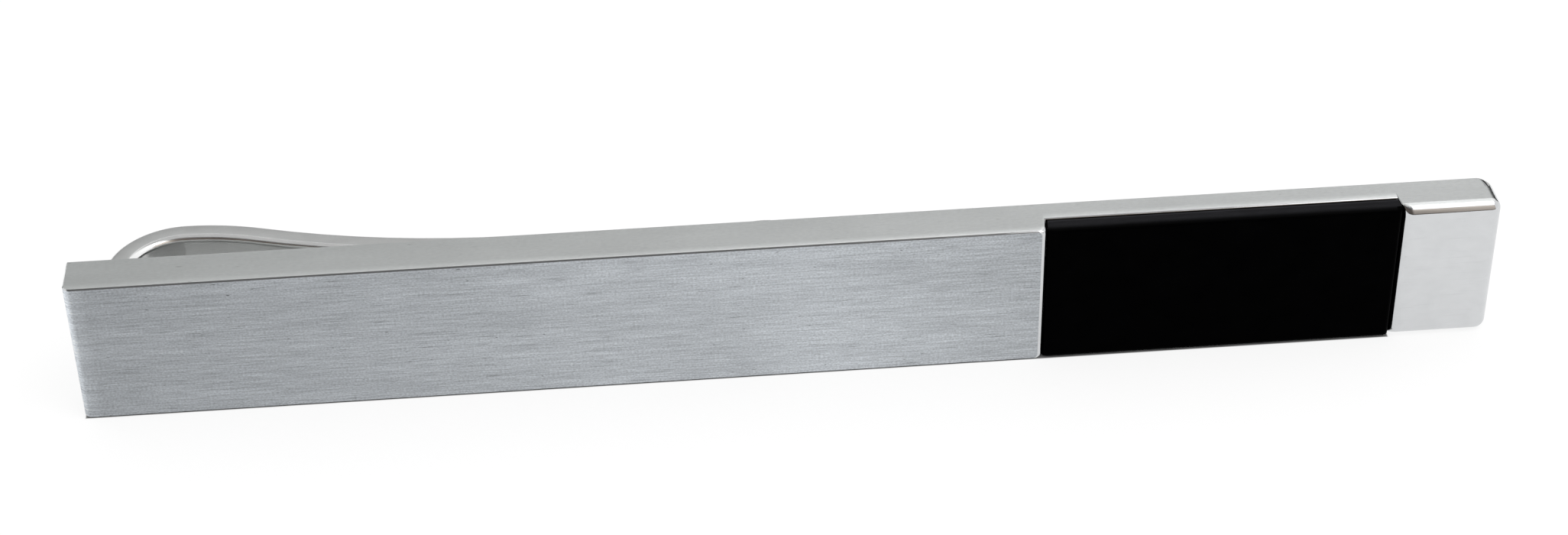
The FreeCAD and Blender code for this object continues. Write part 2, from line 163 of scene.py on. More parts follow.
class StageSettings(bpy.types.PropertyGroup):
    """Floor, light and camera."""

    floor: colour("Floor", "Pale floor", (0.3, 0.3, 0.3))
    floor_glow: amount("Floor glow", "Lift of the floor towards white, as seen", 0.76)
    # Painted shade in the metal: the share of the floor's lift that is mirrored in front of the bar's left
    # part.
    mirror_shade: amount("Floor dimming", "Share of that lift that the metal mirrors at the left", 0.55)
    # Painted contact shadow: the floor's lift towards white stops this far in from the bar's foot.
    contact_shade: length("Contact", "How far light reaches in under the bar's foot", 0.06 * MM)
    sky: amount("Sky", "Soft light from all round", 0.8)
    softbox: amount("Softbox", "Brightness of the panel overhead", 1.6)
    lens: FloatProperty(name="Lens", description="Focal length", default=70.2, unit="CAMERA")
    distance: length("Distance", "Camera to the point that it looks at", 127.18 * MM)
    turn: FloatProperty(name="Turn", description="View direction to the right of straight on",
                        default=math.radians(4.304), unit="ROTATION")
    height: FloatProperty(name="Height", description="View direction below level",
                          default=math.radians(35.791), unit="ROTATION")
    roll: FloatProperty(name="Roll", description="Camera's roll, leftwards",
                        default=math.radians(-0.961), unit="ROTATION")
    aim: FloatVectorProperty(name="Aim", description="Point that the camera looks at",
                             default=(-0.392 * MM, -1.0 * MM, 5.644 * MM), size=3, unit="LENGTH")


class TieClipSettings(bpy.types.PropertyGroup):
    """All that a user may change."""

    bar: PointerProperty(type=BarSettings)
    inlay: PointerProperty(type=InlaySettings)
    strip: PointerProperty(type=StripSettings)
    stage: PointerProperty(type=StageSettings)


def combined(tree, operation, *factors):
    """One factor made of several by multiplying them, taking the greatest and the like."""
    result = factors[0]
    for factor in factors[1:]:
        node = tree.nodes.new("ShaderNodeMath")
        node.operation = operation
        tree.links.new(result, node.inputs[0])
        tree.links.new(factor, node.inputs[1])
        result = node.outputs["Value"]
    return result


class Finish:
    """One surface finish: a shader with the nodes that vary it over the surface."""

    def __init__(self, name, base, roughness, **constants):
        self.material = bpy.data.materials.new(name)
        self.material.use_nodes = True
        self.tree = self.material.node_tree
        self.shader = self.tree.nodes["Principled BSDF"]
        self.base = Vector(base)
        self.shader.inputs["Base Color"].default_value = (*base, 1.0)
        self.shader.inputs["Roughness"].default_value = roughness
        for socket, value in constants.items():
            self.shader.inputs[socket.replace("_", " ")].default_value = value

    def add(self, kind, **values):
        """A new node, with its input sockets set by name."""
        node = self.tree.nodes.new(kind)
        for socket, value in values.items():
            node.inputs[socket].default_value = value
        return node

    def link(self, source, target):
        self.tree.links.new(source, target)

    def grain(self, size, detail=3.0, roughness=0.55):
        """Noise whose grains have that size along X, Y and Z."""
        place = self.add("ShaderNodeTexCoord")
        mapping = self.add("ShaderNodeMapping", Scale=[1 / span for span in size])
        noise = self.add("ShaderNodeTexNoise", Scale=1.0, Detail=detail, Roughness=roughness)
        self.link(place.outputs["Object"], mapping.inputs["Vector"])
        self.link(mapping.outputs["Vector"], noise.inputs["Vector"])
        return noise.outputs["Fac"]

    def across(self, axis):
        """Distance along one axis of the frame."""
        place = self.add("ShaderNodeTexCoord")
        split = self.add("ShaderNodeSeparateXYZ")
        self.link(place.outputs["Object"], split.inputs["Vector"])
        return split.outputs[axis]

    def spread(self, factor, low, high, start=0.3, end=0.7):
        """The factor's middle range stretched to run from low to high."""
        node = self.add("ShaderNodeMapRange")
        for socket, value in (("From Min", start), ("From Max", end), ("To Min", low), ("To Max", high)):
            node.inputs[socket].default_value = value
        self.link(factor, node.inputs["Value"])
        return node.outputs["Result"]

    def tone(self, *factors):
        """Base colour times each of the factors."""
        scale = self.add("ShaderNodeVectorMath")
        scale.operation = "SCALE"
        scale.inputs[0].default_value = self.base
        self.link(combined(self.tree, "MULTIPLY", *factors), scale.inputs["Scale"])
        self.link(scale.outputs["Vector"], self.shader.inputs["Base Color"])

    def dull(self, factor):
        self.link(factor, self.shader.inputs["Roughness"])

    def relief(self, factor, depth, strength=1.0):
        """Bumps of that depth on top of those added before."""
        bump = self.add("ShaderNodeBump", Strength=strength, Distance=depth, Height=0.0)
        self.link(factor, bump.inputs["Height"])
        normal = self.shader.inputs["Normal"]
        if normal.is_linked:
            self.link(normal.links[0].from_socket, bump.inputs["Normal"])
        self.link(bump.outputs["Normal"], normal)


def brushed_finish(base):
    """Lines brushed along the bar, with darker scratches and a few dents. A painted highlight brightens the
    metal at the left corner, and painted shade darkens it a little beside the slab."""
    finish = Finish("brushed_front", base, 0.46, Metallic=1.0, Anisotropic=0.7)
    deep, corner_highlight_width, slab_side_shade_from = 1 * MM, 0.9 * MM, 1 * MM
    fine = finish.grain((1.8 * MM, deep, 0.06 * MM), detail=3.0, roughness=0.65)
    middling = finish.grain((4.5 * MM, deep, 0.13 * MM), detail=2.0)
    broad = finish.grain((8 * MM, deep, 0.5 * MM), detail=2.0)
    cloud = finish.grain((12 * MM, deep, 3 * MM), detail=1.0)
    speckle = finish.grain((0.1 * MM, deep, 0.07 * MM), detail=2.0)
    scratch = finish.grain((1.5 * MM, deep, 0.06 * MM), detail=1.0)
    dent = finish.grain((0.4 * MM, deep, 0.12 * MM), detail=1.0)
    # Painted highlight: the tone rises towards the brushed front's left corner.
    corner_highlight = finish.spread(finish.across("X"), 1.3, 1.0, BAR_LOW.x, BAR_LOW.x + corner_highlight_width)
    # Painted shade: the tone falls a little towards the slab.
    slab_side_shade = finish.spread(finish.across("X"), 1.0, 0.8, slab_side_shade_from, SLAB_LOW.x)
    finish.tone(finish.spread(fine, 0.74, 1.26), finish.spread(middling, 0.91, 1.09),
                finish.spread(broad, 0.96, 1.04), finish.spread(cloud, 0.95, 1.05),
                finish.spread(speckle, 0.8, 1.2), finish.spread(scratch, 1.0, 0.5, start=0.64, end=0.78),
                finish.spread(dent, 1.0, 0.35, start=0.73, end=0.79), corner_highlight, slab_side_shade)
    finish.dull(finish.spread(fine, 0.4, 0.54))
    finish.relief(fine, 0.003 * MM)
    tangent = finish.add("ShaderNodeTangent")
    tangent.direction_type = "UV_MAP"
    tangent.uv_map = "across_brush"
    finish.link(tangent.outputs["Tangent"], finish.shader.inputs["Tangent"])
    return finish.material


def polished_finish(name, base, roughness):
    """Polished metal with a faint unevenness, hairlines and smears."""
    finish = Finish(name, base, roughness, Metallic=1.0)
    uneven = finish.grain((1.6 * MM, 1.6 * MM, 1.6 * MM), detail=1.0)
    smear = finish.grain((0.9 * MM, 0.5 * MM, 0.6 * MM), detail=4.0)
    hair = finish.grain((2.5 * MM, 0.05 * MM, 0.05 * MM), detail=2.0)
    finish.tone(finish.spread(smear, 0.96, 1.03), finish.spread(hair, 1.0, 0.9, start=0.62, end=0.76))
    finish.dull(finish.spread(smear, 0.7 * roughness, 1.4 * roughness))
    finish.relief(uneven, 0.006 * MM)
    finish.relief(hair, 0.0006 * MM)
    return finish.material


def satin_finish(name, base, roughness):
    """Plainly finished metal with a fine even grain and a few small nicks."""
    finish = Finish(name, base, roughness, Metallic=1.0)
    grain = finish.grain((0.22 * MM, 0.1 * MM, 0.1 * MM), detail=4.0)
    cloud = finish.grain((6 * MM, 2 * MM, 3 * MM), detail=2.0)
    nick = finish.grain((0.5 * MM, 0.14 * MM, 0.14 * MM), detail=1.0)
    finish.tone(finish.spread(grain, 0.95, 1.04), finish.spread(cloud, 0.95, 1.04),
                finish.spread(nick, 1.0, 0.8, start=0.72, end=0.8))
    finish.dull(finish.spread(grain, 0.8 * roughness, 1.25 * roughness))
    finish.relief(grain, 0.0012 * MM)
    finish.relief(cloud, 0.01 * MM)
    return finish.material


def black_finish(base):
    """Smooth black slab that mirrors next to nothing, with a trace of haze and a few pale specks."""
    finish = Finish("inlay_black", base, 0.1, Specular_IOR_Level=0.004)
    haze = finish.grain((1.4 * MM, 1 * MM, 1.1 * MM), detail=5.0)
    speck = finish.grain((0.12 * MM, 0.12 * MM, 0.12 * MM), detail=1.0)
    finish.tone(finish.spread(haze, 0.6, 1.4), finish.spread(speck, 1.0, 5.0, start=0.78, end=0.86))
    finish.dull(finish.spread(haze, 0.06, 0.15))
    return finish.material


def ground_and_sheen_finish(base):
    """The slab's ground top and bottom: matt, with a painted sheen that greys them towards the back and a
    painted highlight paler still at the back edge.
    """
    finish = Finish("inlay_ground_sheen", base, 0.4, Specular_IOR_Level=0.02)
    haze = finish.grain((0.9 * MM, 0.2 * MM, 0.2 * MM), detail=5.0)
    sheen_from, sheen_to = SLAB_LOW.y + 0.12 * MM, SLAB_LOW.y + 0.36 * MM
    back_highlight_from, back_highlight_to = SLAB_HIGH.y - 0.12 * MM, SLAB_HIGH.y - 0.04 * MM
    # Painted sheen and highlight: the black greys towards the back and pales again at the back edge.
    finish.tone(finish.spread(haze, 0.8, 1.2),
                finish.spread(finish.across("Y"), 1.0, 19.0, sheen_from, sheen_to),
                finish.spread(finish.across("Y"), 1.0, 2.0, back_highlight_from, back_highlight_to))
    finish.dull(finish.spread(haze, 0.35, 0.5))
    return finish.material


def adhesive_finish(base):
    """Dark set adhesive, slightly lumpy."""
    finish = Finish("adhesive_black", base, 0.45, Specular_IOR_Level=0.02)
    lump = finish.grain((0.3 * MM, 0.3 * MM, 0.3 * MM), detail=3.0)
    finish.tone(finish.spread(lump, 0.6, 1.5))
    finish.dull(finish.spread(lump, 0.35, 0.6))
    finish.relief(lump, 0.02 * MM)
    return finish.material


def brazing_finish(base):
    """Brazing metal: a little warmer and duller than the strip, with a flowed surface."""
    finish = Finish("braze_metal", base, 0.32, Metallic=1.0)
    flow = finish.grain((0.35 * MM, 0.35 * MM, 0.35 * MM), detail=3.0)
    finish.tone(finish.spread(flow, 0.8, 1.1))
    finish.dull(finish.spread(flow, 0.25, 0.45))
    finish.relief(flow, 0.03 * MM)
    return finish.material


def add_piece(name, bm, *materials):
    """The finished mesh as an object, smooth but for its corners. A mesh that isn't closed is an error."""
    bmesh.ops.remove_doubles(bm, verts=bm.verts, dist=MERGE_DISTANCE)
    bmesh.ops.recalc_face_normals(bm, faces=bm.faces)
    open_edges = sum(not edge.is_manifold for edge in bm.edges)
    if open_edges:
        raise RuntimeError(f"{name} has {open_edges} open edges")
    for face in bm.faces:
        face.smooth = True
    for edge in bm.edges:
        edge.smooth = edge.calc_face_angle() < SHARP_TURN
    mesh = bpy.data.meshes.new(name)
    bm.to_mesh(mesh)
    bm.free()
    for material in materials:
        mesh.materials.append(material)
    piece = bpy.data.objects.new(name, mesh)
    bpy.context.scene.collection.objects.link(piece)
    normals = piece.modifiers.new("flat_faces", "WEIGHTED_NORMAL")
    normals.mode = "FACE_AREA"
    normals.keep_sharp = True
    return piece


# One side of a block seen from above: the corner where it starts, that corner's rounding at a depth below the
# rim and its steps, and how far the side is cut back at a depth and its finish there.
Side = namedtuple("Side", "start radius steps cut_back finish")


def finished(face, *rims):
    """A side's finish by depth: that of each rim down to the rim's own depth, then that of the face."""
    return lambda depth: next((finish for rim_depth, finish in rims if depth < rim_depth), face)


def even(radius):
    """The same corner rounding at every depth."""
    return lambda depth: radius


def opening(radius, extra):
    """A corner rounding that grows towards the rim."""
    return lambda depth: radius + extra * max(0.0, 1 - depth / extra) ** 2


def rounded(radius):
    """A quarter round rim."""
    return lambda depth: radius - math.sqrt(radius ** 2 - (radius - min(depth, radius)) ** 2)


def bevelled(bevel):
    """A flat bevel."""
    return lambda depth: max(0.0, bevel - depth)


def rolled(edge, reach, width, drop):
    """A rim that rolls off gently before an edge that reaches in so far."""
    return lambda depth: reach + width * (1 - math.sqrt(depth / drop)) if depth < drop else edge(depth - drop)


def cut_corner(corner, before, after, cut_before, cut_after):
    """Where two sides meet after each is cut back along its outward normal."""
    det = before.x * after.y - before.y * after.x
    return corner + Vector(((before.y * cut_after - after.y * cut_before) / det,
                            (after.x * cut_before - before.x * cut_after) / det))


def add_block(bm, sides, low, high, depths, cap):
    """An upright block: rings of points at rising heights, the rims alike above and below, and two caps."""
    starts = [Vector(side.start) for side in sides]
    ways = [(end - start).normalized() for start, end in zip(starts, starts[1:] + starts[:1])]
    normals = [Vector((way.y, -way.x)) for way in ways]

    def ring(height, depth):
        cuts = [side.cut_back(depth) for side in sides]
        for index, side in enumerate(sides):
            before, after = normals[index - 1], normals[index]
            if not side.steps:
                place = cut_corner(starts[index], before, after, cuts[index - 1], cuts[index])
                yield index - 1, (*place, height)
                continue
            radius = side.radius(depth)
            centre = cut_corner(starts[index], before, after, radius, radius)
            turn = before.angle(after)
            for step in range(side.steps + 1):
                swing = turn * step / side.steps
                place = centre + ((radius - cuts[index - 1]) * math.sin(turn - swing) * before
                                  + (radius - cuts[index]) * math.sin(swing) * after) / math.sin(turn)
                yield index if step else index - 1, (*place, height)

    levels = [(low + depth, depth) for depth in depths]
    levels += [(high - depth, depth) for depth in reversed(depths)]
    rings = [list(ring(*level)) for level in levels]
    points = [[bm.verts.new(place) for _, place in level] for level in rings]
    owners = [owner for owner, _ in rings[0]]
    bm.faces.new(points[0]).material_index = cap
    bm.faces.new(points[-1]).material_index = cap
    for level in range(len(points) - 1):
        depth = (levels[level][1] + levels[level + 1][1]) / 2
        for point in range(len(owners)):
            beside = (point + 1) % len(owners)
            face = bm.faces.new((points[level][point], points[level][beside],
                                 points[level + 1][beside], points[level + 1][point]))
            face.material_index = sides[owners[beside]].finish(depth)


def rim_depths(*rims):
    """Depths below the rim that trace each rounding, bevel end or roll closely, none twice."""
    digits = 4
    return sorted({round(depth / MM, digits) * MM for rim in rims for depth in rim})


def arc_depths(radius, steps):
    """Depths of even steps round a quarter round rim."""
    return [radius * (1 - math.cos(math.pi / 2 * step / steps)) for step in range(steps + 1)]


def cut_slot(bm, strip):
    """Open the slot for the strip's root in the bar's back."""
    bm.normal_update()
    facing_back = 0.9
    rear = max((face for face in bm.faces if face.normal.y > facing_back), key=lambda face: face.calc_area())
    finish = rear.material_index
    outline = sorted(rear.verts, key=lambda v: math.atan2(v.co.z - MID_HEIGHT, v.co.x))
    bmesh.ops.delete(bm, geom=[rear], context="FACES_ONLY")
    slot_x = (LOOP_LOW.x - strip.braze_gap, LOOP_LOW.x + strip.thickness + strip.braze_gap)
    slot_z = (LOOP_LOW.z - strip.braze_gap, LOOP_HIGH.z + strip.braze_gap)
    corners = [(slot_x[0], slot_z[0]), (slot_x[1], slot_z[0]), (slot_x[1], slot_z[1]), (slot_x[0], slot_z[1])]
    slot_floor = LOOP_LOW.y - strip.braze_gap
    rim = [bm.verts.new((x, BAR_BACK, z)) for x, z in corners]
    sunk = [bm.verts.new((x, slot_floor, z)) for x, z in corners]
    for corner in range(len(corners)):
        following = (corner + 1) % len(corners)
        for inner, outer in ((rim, outline), (sunk, rim)):
            face = bm.faces.new((outer[corner], outer[following], inner[following], inner[corner]))
            face.material_index = finish
    bm.faces.new(sunk).material_index = finish


def build_bar(bar, strip):
    """The notched bar, with the slot for the strip's root in its back."""
    left, right = BAR_LOW.x, BAR_HIGH.x
    front, back, floor = BAR_LOW.y, BAR_HIGH.y, RECESS_FLOOR
    recess_left, recess_right = SLAB_LOW.x - bar.wall_gap, SLAB_HIGH.x + bar.wall_gap
    brushed, polished, satin, plain = range(4)
    corner_steps, wall_steps, end_steps, top_steps, recess_steps, roll_steps = 8, 6, 10, 4, 6, 8
    satin_share = 0.12
    crisp, fine = bar.crisp_edge, bar.crisp_edge / 2
    rim = crisp + bar.roll_drop
    roll = bar.roll_width, bar.roll_drop
    flat, wall, about_end = bevelled(crisp), bevelled(fine), rounded(bar.end_round)
    front_edge = rolled(flat, crisp, *roll)
    recess_edge = rolled(rounded(bar.recess_edge), bar.recess_edge, *roll)
    shiny, worn = finished(polished), finished(polished, (bar.roll_drop, satin))
    eased = finished(polished, (satin_share * bar.end_round, satin))
    sides = [
        Side((left, front), even(bar.corner_round), corner_steps, front_edge,
             finished(brushed, (bar.roll_drop, satin), (rim, polished))),
        Side((recess_left, front), opening(bar.wall_edge, bar.wall_corner), wall_steps,
             rounded(bar.wall_top), worn),
        Side((recess_left + bar.recess_flare, floor), even(0.0), 0, recess_edge, worn),
        Side((recess_right - bar.recess_flare, floor), even(0.0), 0, wall, shiny),
        Side((recess_right, front), even(bar.end_round), end_steps, about_end, eased),
        Side((right, front), even(bar.end_round), end_steps, about_end, eased),
        Side((right, back), opening(bar.end_round, bar.rear_corner), end_steps, wall,
             finished(plain, (fine, polished))),
        Side((left, back), even(crisp), 1, flat, finished(satin)),
    ]
    rolls = [bar.roll_drop * (step / roll_steps) ** 2 for step in range(roll_steps + 1)]
    under_roll = [bar.roll_drop + depth for depth in arc_depths(bar.recess_edge, recess_steps)]
    depths = rim_depths(arc_depths(bar.end_round, end_steps), arc_depths(bar.wall_top, top_steps), rolls,
                        under_roll, [fine, crisp, rim])
    bm = bmesh.new()
    add_block(bm, sides, BAR_LOW.z, BAR_HIGH.z, depths, satin)
    cut_slot(bm, strip)
    across = bm.loops.layers.uv.new("across_brush")
    for face in bm.faces:
        for loop in face.loops:
            loop[across].uv = (loop.vert.co.z / MM, loop.vert.co.x / MM)
    # The satin and plain back finishes carry the painted, lighter metal colours.
    return add_piece("bar", bm, brushed_finish(bar.brushed),
                     polished_finish("polished_end", bar.polished, roughness=0.1),
                     satin_finish("satin_metal", bar.satin, roughness=0.2),
                     satin_finish("plain_back", bar.back, roughness=0.42))


def build_slab(inlay, bar):
    """The black slab, following the leaning recess walls, with rounded front edges."""
    depth = SLAB_HIGH.y - SLAB_LOW.y
    lean = bar.recess_flare * depth / (RECESS_FLOOR - SLAB_LOW.y)
    edge, side_edge = inlay.edge_round, inlay.side_edge
    about_front, plain = rounded(edge), bevelled(side_edge)
    black, ground = range(2)
    edge_steps, ground_share = 8, 0.3
    sides = [
        Side((SLAB_LOW.x, SLAB_LOW.y), even(edge), edge_steps, about_front,
             finished(black, (ground_share * edge, ground))),
        Side((SLAB_HIGH.x, SLAB_LOW.y), even(edge), edge_steps, plain, finished(black)),
        Side((SLAB_HIGH.x - lean, SLAB_HIGH.y), even(side_edge), 1, plain, finished(black)),
        Side((SLAB_LOW.x + lean, SLAB_HIGH.y), even(side_edge), 1, plain, finished(black)),
    ]
    depths = rim_depths(arc_depths(edge, edge_steps), [side_edge])
    bm = bmesh.new()
    add_block(bm, sides, SLAB_LOW.z, SLAB_HIGH.z, depths, ground)
    return add_piece("inlay_slab", bm, black_finish(inlay.black), ground_and_sheen_finish(inlay.black))


class StripLine:
    """The strip's middle line seen from above: straight runs and bends, joined end to end."""

    def __init__(self, start, heading):
        self.start = Vector(start)
        self.heading = heading
        self.parts = []

    def run(self, span):
        self.parts.append((span, 0.0))

    def bend(self, radius, turn):
        """A bend to the left, or to the right where the turn is negative."""
        self.parts.append((radius * abs(turn), turn))

    def reach(self):
        return sum(span for span, _ in self.parts)

    def stations(self, turn_step):
        """Distances along the line, close together in the bends."""
        done = 0.0
        for span, turn in self.parts:
            count = max(1, math.ceil(abs(turn) / turn_step))
            for step in range(count):
                yield done + span * step / count
            done += span

    def at(self, distance):
        """Place and heading at a distance along the line."""
        place, heading = self.start.copy(), self.heading
        for span, turn in self.parts:
            step = min(distance, span)
            swing = turn * step / span
            chord = 2 * span / turn * math.sin(swing / 2) if turn else step
            place += chord * Vector((math.cos(heading + swing / 2), math.sin(heading + swing / 2)))
            heading += swing
            distance -= step
            if distance <= 0:
                break
        return place, heading


def strip_line(strip, tip_round):
    """The strip's middle line, from the foot of its root to the tip of its lip."""
    half = strip.thickness / 2
    gap = TONGUE_LOW.y - BAR_BACK
    neck_x = BAR_LOW.x + strip.neck_setback
    fall = LOOP_HEIGHT - strip.thickness - gap
    slope_run = neck_x - CROWN_X
    both_radii = (slope_run ** 2 + fall ** 2) / (2 * fall)
    swing = math.asin(slope_run / both_radii)
    lip_length = tip_round + strip.lip_lead
    lip_radius = (lip_length ** 2 + strip.lip_rise ** 2) / (2 * strip.lip_rise)
    lift = math.asin(lip_length / lip_radius)

    line = StripLine((LOOP_LOW.x + half, LOOP_LOW.y), math.pi / 2)
    line.run(BAR_BACK - LOOP_LOW.y)
    line.bend(LOOP_HEIGHT - half, -math.pi / 2)
    line.bend(strip.crown_radius - half, -swing)
    line.bend(both_radii - strip.crown_radius + half, swing)
    line.run(strip.tongue_reach - lip_length - strip.neck_setback)
    line.bend(lip_radius - half, lift)
    return line


def edge_profile(strip, steps):
    """The strip's rounded edge from inner to outer face: how far in from its rim and out of its middle."""
    half, radius = strip.thickness / 2, strip.edge_round
    turns = [math.pi / 2 * step / steps for step in range(steps + 1)]
    inner = [(radius * (1 - math.sin(turn)), radius * (1 - math.cos(turn)) - half) for turn in turns]
    return inner + [(inset, -out) for inset, out in reversed(inner)]


def build_strip(strip):
    """The spring strip in one piece: root, loop, slope, tongue and lip, with rounded edges and tip."""
    tip_round = (STRIP_WIDTH - strip.tip_flat) / 2
    line = strip_line(strip, tip_round)
    tip_start = line.reach() - tip_round
    edge_steps, tip_steps, turn_step = 6, 16, math.radians(2.5)
    profile = edge_profile(strip, edge_steps)
    polished, satin = range(2)
    stations = [(distance, 0.0) for distance in line.stations(turn_step) if distance < tip_start]
    stations += [(tip_start, math.pi / 2 * step / tip_steps) for step in range(tip_steps + 1)]

    bm = bmesh.new()

    def edge_points(distance, swing, side):
        for inset, out in profile:
            radius = tip_round - inset
            place, heading = line.at(distance + radius * math.sin(swing))
            rim = strip.tip_flat / 2 + radius * math.cos(swing)
            yield bm.verts.new((place.x - out * math.sin(heading), place.y + out * math.cos(heading),
                                MID_HEIGHT + side * rim))

    rings = [(list(edge_points(*station, 1)), list(edge_points(*station, -1))) for station in stations]
    closed = [upper + lower[::-1] for upper, lower in rings]
    for ring, following in zip(closed, closed[1:]):
        for point in range(len(ring)):
            beside = (point + 1) % len(ring)
            face = bm.faces.new((ring[point], ring[beside], following[beside], following[point]))
            face.material_index = satin if beside == len(profile) else polished
    bm.faces.new(closed[0])
    upper, lower = rings[-1]
    for point in range(len(upper) - 1):
        bm.faces.new((upper[point], upper[point + 1], lower[point + 1], lower[point]))
    return add_piece("spring_strip", bm, polished_finish("spring_metal", strip.metal, roughness=0.16),
                     satin_finish("spring_outer", strip.outer, roughness=0.24))


def build_seam(strip):
    """The brazing round the strip's root: it fills the slot and stands up in a hollow, rippled fillet."""
    steps, corner_steps = 6, 6
    ripple_shares, ripple_counts = (0.06, 0.04), (7, 13)
    foot = strip.braze_bead + strip.braze_gap
    depth = BAR_BACK - LOOP_LOW.y
    hollow = [math.pi / 2 * step / steps for step in range(steps + 1)]
    profile = [(foot * (1 - math.cos(turn)), strip.braze_bead * (1 - math.sin(turn))) for turn in hollow]
    profile += [(strip.braze_gap, 0.0), (strip.braze_gap, -depth), (0.0, -depth)]

    radius = strip.edge_round
    middle_x = LOOP_LOW.x + strip.thickness / 2
    reach_x, reach_z = strip.thickness / 2 - radius, STRIP_WIDTH / 2 - radius
    bm = bmesh.new()
    rings = []
    for quarter, (side_x, side_z) in enumerate(((1, 1), (-1, 1), (-1, -1), (1, -1))):
        for step in range(corner_steps + 1):
            turn = math.pi / 2 * (quarter + step / corner_steps)
            waves = zip(ripple_shares, ripple_counts)
            ripple = 1 + sum(share * math.sin(count * turn) for share, count in waves)
            ring = []
            for out, rise in profile:
                reach = radius + (out * ripple if rise > 0 else out)
                x = middle_x + side_x * reach_x + reach * math.cos(turn)
                z = MID_HEIGHT + side_z * reach_z + reach * math.sin(turn)
                ring.append(bm.verts.new((x, BAR_BACK + rise, z)))
            rings.append(ring)
    for ring, following in zip(rings, rings[1:] + rings[:1]):
        for point in range(len(ring)):
            beside = (point + 1) % len(ring)
            bm.faces.new((ring[point], ring[beside], following[beside], following[point]))
    return add_piece("brazed_seam", bm, brazing_finish(strip.brazing))


class MakeBar(bpy.types.Operator):
    """Make the brushed and polished bar."""

    bl_idname = "tie_clip.bar"
    bl_label = "Bar"

    def execute(self, context):
        settings = context.scene.tie_clip
        piece = build_bar(settings.bar, settings.strip)
        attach(piece, "bar")
        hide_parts("bar_body")
        return {"FINISHED"}


class MakeInlay(bpy.types.Operator):
    """Make the black slab and finish the adhesive behind it."""

    bl_idname = "tie_clip.inlay"
    bl_label = "Inlay"

    def execute(self, context):
        settings = context.scene.tie_clip
        piece = build_slab(settings.inlay, settings.bar)
        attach(piece, "bar")
        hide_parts("black_inlay")
        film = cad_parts["inlay_adhesive"]
        film.material_slots[0].material = adhesive_finish(settings.inlay.adhesive)
        return {"FINISHED"}


class MakeStrip(bpy.types.Operator):
    """Make the spring strip, which loops from its root in the bar to the tongue."""

    bl_idname = "tie_clip.strip"
    bl_label = "Spring strip"

    def execute(self, context):
        strip = context.scene.tie_clip.strip
        piece = build_strip(strip)
        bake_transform(piece)
        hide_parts("spring_loop", "spring_tongue")
        return {"FINISHED"}


class MakeSeam(bpy.types.Operator):
    """Make the brazed seam that holds the strip's root."""

    bl_idname = "tie_clip.seam"
    bl_label = "Brazed seam"

    def execute(self, context):
        piece = build_seam(context.scene.tie_clip.strip)
        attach(piece, "bar")
        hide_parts("braze_seam")
        return {"FINISHED"}


def add_sheet(name, corners, material):
    """A flat stage sheet between its corners."""
    bm = bmesh.new()
    bm.faces.new([bm.verts.new(corner) for corner in corners])
    mesh = bpy.data.meshes.new(name)
    bm.to_mesh(mesh)
    bm.free()
    mesh.materials.append(material)
    sheet = bpy.data.objects.new(name, mesh)
    bpy.context.scene.collection.objects.link(sheet)
    sheet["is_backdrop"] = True
    return sheet


def floor_finish(stage):
    """Matt pale floor, lifted towards white where it is seen. The lift stops at the bar's foot, leaving a
    painted contact shadow there, and less of it shows in the metal in front of the bar's left part, as
    painted shade in the metal's reflection."""
    finish = Finish("floor_pale", stage.floor, 1.0, Specular_IOR_Level=0.0)
    tree = finish.tree
    fade = 8 * MM
    # Painted contact shadow: the lift is masked off under the bar's foot.
    outside = []
    for axis, low, high in (("X", BAR_LOW.x, SLAB_HIGH.x), ("Y", BAR_LOW.y, BAR_HIGH.y)):
        outside.append(finish.spread(finish.across(axis), 1.0, 0.0, low, low + stage.contact_shade))
        outside.append(finish.spread(finish.across(axis), 0.0, 1.0, high - stage.contact_shade, high))
    path = finish.add("ShaderNodeLightPath")
    mirrored = combined(tree, "MAXIMUM", path.outputs["Is Glossy Ray"], path.outputs["Is Transmission Ray"])
    # Painted shade in the metal: the mirrored lift is cut towards the bar's left part.
    towards_right = finish.spread(finish.across("X"), stage.mirror_shade, 1.0, BAR_LOW.x, 0.0)
    past_left_end = finish.spread(finish.across("X"), 1.0, 0.0, BAR_LOW.x - fade, BAR_LOW.x)
    mirrored = combined(tree, "MULTIPLY", mirrored, combined(tree, "MAXIMUM", towards_right, past_left_end))
    seen = combined(tree, "MAXIMUM", path.outputs["Is Camera Ray"], mirrored)
    lifted = combined(tree, "MULTIPLY", seen, combined(tree, "MAXIMUM", *outside))
    glow = finish.add("ShaderNodeEmission", Strength=stage.floor_glow)
    none = finish.add("ShaderNodeEmission", Strength=0.0)
    choose = finish.add("ShaderNodeMixShader")
    both = finish.add("ShaderNodeAddShader")
    finish.link(lifted, choose.inputs["Fac"])
    finish.link(none.outputs["Emission"], choose.inputs[1])
    finish.link(glow.outputs["Emission"], choose.inputs[2])
    finish.link(finish.shader.outputs["BSDF"], both.inputs[0])
    finish.link(choose.outputs["Shader"], both.inputs[1])
    finish.link(both.outputs["Shader"], tree.nodes["Material Output"].inputs["Surface"])
    return finish.material


